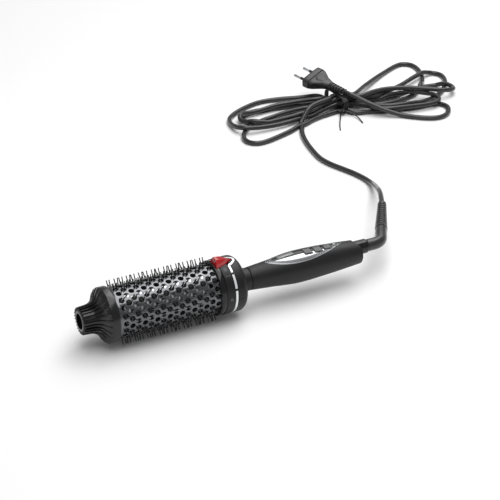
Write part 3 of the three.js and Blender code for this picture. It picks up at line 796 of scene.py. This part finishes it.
def add_release():
    x0, x1 = RELEASE_X
    corners = [(x, y, 26.6) for x, y in release_outline(0)]
    for x, y, z in ((x0, RELEASE_HALF, 27.4), (x0 + 9.5, 5, 28.6), (x1, 0.2, 28.2), (x0 + 1, 3.2, 34.2),
                    (x0 + 8, 2.9, 33.2)):
        corners += [(x, y, z), (x, -y, z)]
    bm = bmesh.new()
    for p in turned_about_axis(corners, RELEASE_ROLL):
        bm.verts.new(p * MM)
    hull = bmesh.ops.convex_hull(bm, input=bm.verts)
    bmesh.ops.delete(bm, geom=[v for v in set(hull["geom_interior"] + hull["geom_unused"])
                               if isinstance(v, bmesh.types.BMVert)], context="VERTS")
    bmesh.ops.dissolve_limit(bm, angle_limit=math.radians(3), verts=bm.verts, edges=bm.edges)
    mesh = bpy.data.meshes.new("release_gem")
    bm.to_mesh(mesh)
    bm.free()
    mesh.materials.append(MATERIALS["red_lens"])
    gem = linked("release_gem", mesh)
    finish_edges(gem, 0.35)
    as_piece(gem, "release", "red_lens", "release_button")


def ribbon(path, half_width, inner, outer):
    """A flat strip round the axis along a path of (x, degrees), `half_width` to each side."""
    flat = np.array([(x, math.radians(a) * outer) for x, a in path])
    step = np.gradient(flat, axis=0)
    step /= np.linalg.norm(step, axis=1)[:, None]
    side = np.column_stack([-step[:, 1], step[:, 0]]) * half_width
    points = []
    for (x, s), (dx, ds) in zip(flat, side):
        for sign, r in ((-1, inner), (-1, outer), (1, outer), (1, inner)):
            points.append(polar(x + sign * dx, r, math.degrees((s + sign * ds) / outer)))
    return points, skin(len(path), 4)


def add_chrome_ring():
    x0, x1 = RING_X - 0.2, REAR_X + 0.2
    band = [(x0, 24), (x0, COLLAR_R + 0.02), (x0 + 0.25, COLLAR_R + 0.18), (x1 - 0.25, COLLAR_R + 0.18),
            (x1, COLLAR_R + 0.02), (x1, 24)]
    breaks, half = [40, 74], 2.4  # the turns of the black tabs, and half the width of one
    starts, stops = [19.7, *(b + half for b in breaks)], [*(b - half for b in breaks), 351.3]
    parts = [lathe_mesh(band, max(4, int((b - a) / 2.5)), a, b) for a, b in zip(starts, stops)]
    corner = [(-4.25, 19.7), (-1.2, 17.2), (1.4, 13.6), (3.1, 9.8), (3.7, 5.5)]
    path = corner + [(x, 2 * RELEASE_ROLL - a) for x, a in reversed(corner[:-1])]
    fine = [tuple(p) for p in catmull(path, 6)]
    parts.append(ribbon(fine, 1.05, 27.2, COLLAR_R + 0.45))
    ring = mesh_object("chrome_trim", *merged(parts), "chrome", bevel=0.12)
    as_piece(ring, "handle", "chrome", "chrome_ring")
    core = [(x0, 24), (x0, 27.6), (x1, 27.6), (x1, 24)]
    base = lathe("trim_base", core, "gloss_black", steps=96, start=19, stop=352)
    as_piece(base, "handle", "gloss_black")


def add_collars():
    lip_profile = shifted(LIP_X, (0, 25.6), (0, 26.8), (0.5, 27.5), (1.3, 27.8), (4.8, 27.8), (5.5, 27.6),
                          (5.7, 27.3), (5.7, 25.6))
    lip = lathe("lip_ring", lip_profile, "gloss_black")
    carve(lip, seat_cutter())
    as_piece(lip, "head", "gloss_black", "barrel_lip")

    front_profile = shifted(COLLAR_X, (0, 25), (0, 27.7), (0.3, COLLAR_R))
    front_profile += shifted(RING_X, (-0.65, COLLAR_R), (-0.45, 27.8), (-0.45, 25))
    front = lathe("front_collar_body", front_profile, "charcoal")
    carve(front, seat_cutter())
    as_piece(front, "head", "charcoal", "front_collar")
    add_chrome_ring()

    dome = catmull(shifted(REAR_X, (6.4, 28.2), (8.2, 28.0), (10, 27.1), (12, 25), (13.6, 21), (14.4, 16))
                   + [(NECK_X - 0.2, 12.5)], 6)
    shell = [*shifted(REAR_X, (0.45, 25.6), (0.45, 28.0), (0.65, 28.2)), *map(tuple, dome),
             (NECK_X - 2.6, 12.5), *shifted(REAR_X, (11.6, 19.5), (10, 23), (7.9, 25.6))]
    seam = 0.32
    for name, start in (("upper", SPLIT_ROLL - 90), ("lower", SPLIT_ROLL + 90)):
        half = lathe(f"rear_shell_{name}", shell, "charcoal", steps=72, start=start + seam,
                     stop=start + 180 - seam)
        if name == "upper":
            carve(half, seat_cutter())
        as_piece(half, "handle", "charcoal", f"rear_collar_{name}")

    neck = shifted(NECK_X, (-6, 8.6), (-6, 18), (-4.4, 18), (-4.4, 11.9), (2, 11.8))
    neck += shifted(GRIP_X, (-0.6, 11.6), (-0.25, 11.3), (-0.15, 9.4), (8, 9.4), (8, 8.6))
    as_piece(lathe("neck_tube", neck, "charcoal"), "handle", "charcoal", "neck_sleeve")


# ---- grip and control panel ----
GRIP_CURVE = np.array(catmull([(GRIP_X, 11.6), (45.25, 13.7), (75.25, 16.4), (109.25, 15.3),
                               (GRIP_END_X - 3, 13), (GRIP_END_X, 12.4)], 24))
PANEL_X = 84.75
PANEL_HALF_LENGTH = 44.5
PANEL_HALF_WIDTH = 12.3
PANEL_SKEW = 0.82
PANEL_BED = -1.5  # how deep the panel's plates go under the grip's surface
STRIP_FAR = 6.0
STRIP_NEAR = [(50, -1.8), (68, -3.6), (100, -3.8), (118, -2.6)]  # near edge of the glossy strip, (x, y)
BUTTONS = [("power_button", 87.4, 5.3), ("minus_button", 99.0, 5.3), ("plus_button", 110.2, 4.0)]
BUTTON_Y = -1.3
DISPLAY = (64.2, 2.0)
LIGHT = (119.5, 0.6)


def grip_radius(x):
    return float(np.interp(x, GRIP_CURVE[:, 0], GRIP_CURVE[:, 1]))


def on_grip(x, y, offset):
    """The point above (x, y) on the grip's surface moved out by offset."""
    return (x, y, AXIS_Z + math.sqrt((grip_radius(x) + offset) ** 2 - y * y))


def almond(x, inset):
    """Half width of the panel outline at x, moved in by inset; the outline is fullest towards the barrel."""
    a, b = PANEL_HALF_LENGTH - 2 * inset, PANEL_HALF_WIDTH - inset
    radius = (a * a + b * b) / (2 * b)
    u = 2 * a * max(0.0, (x - PANEL_X + a) / (2 * a)) ** PANEL_SKEW - a
    return math.sqrt(radius * radius - u * u) - (radius - b) if abs(u) < a else 0.0


def almond_outline(inset, steps=72):
    a = PANEL_HALF_LENGTH - 2 * inset
    xs = [PANEL_X - a * math.cos(math.pi * i / steps) for i in range(steps + 1)]
    return [(x, almond(x, inset)) for x in xs] + [(x, -almond(x, inset)) for x in xs[-2:0:-1]]


def add_grip():
    notch_turn, notch_depth, notch_x = -20, 5.5, 122

    def notched(x, r, degrees):
        from_notch = abs((degrees - notch_turn + 180) % 360 - 180)
        back = notch_depth * (1 - smoothstep(18, 80, from_notch)) * smoothstep(notch_x, GRIP_END_X, x)
        return x - back * min(1, r / 9), r
    wall = [(x, grip_radius(x)) for x in np.linspace(GRIP_X + 0.5, GRIP_END_X - 0.5, 72)]
    profile = [*shifted(GRIP_X, (0, 9.6), (0, 11.1), (0.15, 11.4)), *wall,
               *shifted(GRIP_END_X, (-0.1, 12.1), (0, 11.7), (0, 0), (-7.5, 0), (-7.5, 10.5)),
               (109.25, 13.1), (75.25, 14.4), (45.25, 11.7)]
    grip = lathe("grip_shell", profile, "soft_grip", shape=notched)
    bore_r = END_COLLAR_R + 0.2
    bore = lathe("bore", [(130, 0), (130, bore_r), (160, bore_r), (160, 0)], "charcoal", steps=64, z=SWIVEL_Z)
    window = mesh_object("window", *prism(almond_outline(0), AXIS_Z + 3, AXIS_Z + 24), "charcoal")
    carve(grip, bore, window)
    as_piece(grip, "handle", "soft_grip", "grip")


def band(xs, inner, outer, top, bottom, rows, ripple=None):
    """A closed strip on the grip between the lines y = inner(x) and y = outer(x)."""
    points, faces = [], []
    count = rows + 1
    for level in (top, bottom):
        for x in xs:
            y0, y1 = inner(x), outer(x)
            for j in range(count):
                y = y0 + (y1 - y0) * j / rows
                more = ripple(x, y, j / rows) if ripple and level == top else 0
                points.append(on_grip(x, y, level + more))
    n = len(xs) * count
    for i in range(len(xs) - 1):
        for j in range(rows):
            a, b = i * count + j, (i + 1) * count + j
            faces += [(a, a + 1, b + 1, b), (n + b, n + b + 1, n + a + 1, n + a)]
        for j in (0, rows):
            a, b = i * count + j, (i + 1) * count + j
            faces.append((a, b, n + b, n + a))
    for i in (0, len(xs) - 1):
        a = i * count
        faces += [(a + j, a + j + 1, n + a + j + 1, n + a + j) for j in range(rows)]
    return points, faces


def conformed(outline, top, bottom, crown=0.0, rings=5, dish=0.0):
    """A closed pad on the grip over a flat outline, with its top crowned by `crown` in the middle."""
    cx = sum(p[0] for p in outline) / len(outline)
    cy = sum(p[1] for p in outline) / len(outline)
    n = len(outline)
    scales = [1 - i / rings for i in range(rings)]
    points = [on_grip(x, y, bottom) for x, y in outline]
    for s in scales:
        lift = top + crown * (1 - s * s) - dish * (1 - s) ** 0.5
        points += [on_grip(cx + (x - cx) * s, cy + (y - cy) * s, lift) for x, y in outline]
    points += [on_grip(cx, cy, top + crown - dish), on_grip(cx, cy, bottom)]
    faces = []
    for ring in range(rings):
        faces += loop_faces(ring * n, (ring + 1) * n, n)
    last = rings * n
    faces += [(last + k, last + (k + 1) % n, len(points) - 2) for k in range(n)]
    faces += [((k + 1) % n, k, len(points) - 1) for k in range(n)]
    return points, faces


def ring_band(outer, inner, top, bottom):
    """A closed frame on the grip between two outlines with the same number of points."""
    n = len(outer)
    rows = [(outer, bottom), (outer, top), (inner, top), (inner, bottom)]
    points = [on_grip(x, y, level) for outline, level in rows for x, y in outline]
    return points, [face for r in range(4) for face in loop_faces(r * n, (r + 1) % 4 * n, n)]


def upright(outline):
    return mesh_object("cutter", *prism(outline, AXIS_Z + 3, AXIS_Z + 30), "charcoal")


def button_room():
    return [upright(rounded_rect(x, BUTTON_Y, 4.9, half + 0.4, 1.3)) for _, x, half in BUTTONS]


def strip_near(x):
    return float(np.interp(x, *zip(*STRIP_NEAR)))


def add_panel():
    rim = ring_band(almond_outline(0.3), almond_outline(0.65), 0.22, -1.6)
    frame_piece = mesh_object("panel_rim", *rim, "panel_silver", bevel=0.08)
    as_piece(frame_piece, "handle", "chrome", "panel_bezel")

    def edge(side, inset):
        return lambda x: side * almond(x, inset)

    def span(inset, near, far):
        """Places along the panel where there is room between two edges."""
        return [x for x in np.linspace(PANEL_X - 44, PANEL_X + 44, 353)
                if near(x) < far(x) - 0.1 and almond(x, inset)]
    plates = {"near": (edge(-1, 3.4), lambda x: strip_near(x) - 0.3),
              "far": (lambda x: STRIP_FAR + 0.3, edge(1, 3.4))}
    for name, (low, high) in plates.items():
        face = band(span(3.4, low, high), low, high, -0.15, PANEL_BED, 8)
        plate = mesh_object(f"panel_face_{name}", *face, "panel_silver")
        if name == "near":
            carve(plate, *button_room(), bevel=0.1)
        else:
            finish_edges(plate, 0.1)
        as_piece(plate, "handle", "panel_silver", f"panel_insert_{name}")

    slope, pitch, height = 1.1, 2.6, 0.32

    def hatched(x, y, t):
        wave = abs(((x + slope * abs(y)) / pitch) % 1 - 0.5) * 2
        return height * smoothstep(0.3, 0.7, wave) * min(1, 4 * t, 4 * (1 - t))
    hatch_edges = [(edge(-1, 0.95), edge(-1, 3.5)), (edge(1, 3.5), edge(1, 0.95))]
    parts = [band(span(1.0, low, high), low, high, 0.0, PANEL_BED, 6, hatched) for low, high in hatch_edges]
    hatch = mesh_object("panel_hatch", *merged(parts), "hatch_grey", angle=25)
    carve(hatch, *button_room(), angle=25)
    as_piece(hatch, "handle", "panel_silver")

    def strip_low(x):
        return max(strip_near(x), -almond(x, 1.1))

    def strip_high(x):
        return min(STRIP_FAR, almond(x, 1.1))
    face = band(span(1.1, strip_low, strip_high), strip_low, strip_high, 0.1, PANEL_BED, 14)
    strip = mesh_object("control_face", *face, "gloss_black")
    holes = [upright(rounded_rect(*DISPLAY, 9.3, 3.4, 0.7)), upright(rounded_rect(*LIGHT, 1.3, 0.9, 0.5))]
    carve(strip, *holes, *button_room())
    as_piece(strip, "handle", "gloss_black", "control_strip")

    window = conformed(rounded_rect(*DISPLAY, 9, 3.1, 0.6), -0.05, -1.3)
    as_piece(mesh_object("display_window", *window, "display_glass", bevel=0.12), "handle", "display_glass",
             "display_lens")
    dot = conformed(rounded_rect(*LIGHT, 1.1, 0.7, 0.4), 0.15, -1.3, 0.1)
    as_piece(mesh_object("light_dot", *dot, "light_white"), "handle", "light_white", "status_light")

    for name, x, half in BUTTONS:
        inside = rounded_rect(x, BUTTON_Y, 4.0, half - 0.5, 1.0)
        pad = conformed(inside, 0.85, -2.7, dish=0.25)
        key = mesh_object(f"{name}_key", *pad, "key_grey", bevel=0.2)
        as_piece(key, name, "gloss_black", name)
        frame_ring = ring_band(rounded_rect(x, BUTTON_Y, 4.5, half, 1.2), inside, 0.45, -2.4)
        trim = mesh_object(f"{name}_frame", *frame_ring, "gloss_black", bevel=0.1)
        as_piece(trim, name, "gloss_black")


def add_end_collar():
    x0, x1 = GRIP_END_X - 11, GRIP_END_X - 4.6
    rim = [(-1.6, 0), (-0.9, 0.12), (-0.4, 0.45), (-0.1, 1.0), (0, 1.7), (-0.3, 2.3)]
    profile = [(x1, 5.1), (x1, 6.95), (x0, 6.95), (x0, END_COLLAR_R)]
    profile += [(END_X + x, END_COLLAR_R - r) for x, r in rim]
    collar = lathe("end_cap", profile, "gloss_black", steps=96, z=SWIVEL_Z)
    as_piece(collar, "handle", "gloss_black", "end_collar")


# The pieces that are hidden inside keep their CAD solids.
CAD_FINISHES = {
    "nose_hub": "charcoal", "nose_screw": "steel", "rear_hub": "charcoal", "head_spigot": "aluminium",
    "ptc_heater": "heater_film", "temperature_sensor": "heater_film", "thermal_fuse": "aluminium",
    "grip_chassis": "charcoal", "control_board": "board_green", "display_module": "display_glass",
    "keypad": "keypad_rubber", "swivel_stem": "charcoal", "slip_ring_1": "copper", "slip_ring_2": "copper",
    "brush_block": "heater_film",
}


def finish_cad_nodes():
    for node, slot in CAD_FINISHES.items():
        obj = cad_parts[node]
        for place in obj.material_slots:
            place.material = MATERIALS[slot]


# ---- floor and light ----
def add_light(name, place, target, size, power):
    data = bpy.data.lights.new(name, "AREA")
    data.shape = "RECTANGLE"
    data.size, data.size_y = size
    data.energy = power
    light = linked(name, data)
    light.location = place
    light.rotation_euler = (Vector(target) - Vector(place)).to_track_quat("-Z", "Y").to_euler()


def add_stage():
    floor_mesh = bpy.data.meshes.new("floor")
    floor_mesh.from_pydata([(-6, -6, 0), (6, -6, 0), (6, 6, 0), (-6, 6, 0)], [], [(0, 1, 2, 3)])
    material, nodes, links, shader = new_nodes("floor")
    shades = ramp(nodes, links, noise(nodes, links, 3), (0.87,) * 3, (0.89,) * 3)
    links.new(shades, shader.inputs["Base Color"])
    shader.inputs["Roughness"].default_value = 0.75
    shader.inputs["Specular IOR Level"].default_value = 0.2
    floor_mesh.materials.append(material)
    floor = linked("floor", floor_mesh)
    add_light("overhead_softbox", (0.3, -0.1, 1.5), (0.1, 0.1, 0), (2.4, 1.1), 23.5)
    add_light("back_softbox", (1.15, 1.15, 1.75), (0.1, 0.1, 0), (1.7, 1.7), 17)
    world = bpy.data.worlds.new("studio")
    bpy.context.scene.world = world
    world.use_nodes = True
    background = world.node_tree.nodes["Background"].inputs
    background["Color"].default_value = (1, 1, 1, 1)
    background["Strength"].default_value = 0.36
    bpy.context.scene.view_settings.view_transform = "Standard"


add_nose_cap()
add_marks()
add_barrel()
add_bristles()
add_heater()
add_release()
add_collars()
add_grip()
add_panel()
add_end_collar()
finish_cad_nodes()
add_stage()
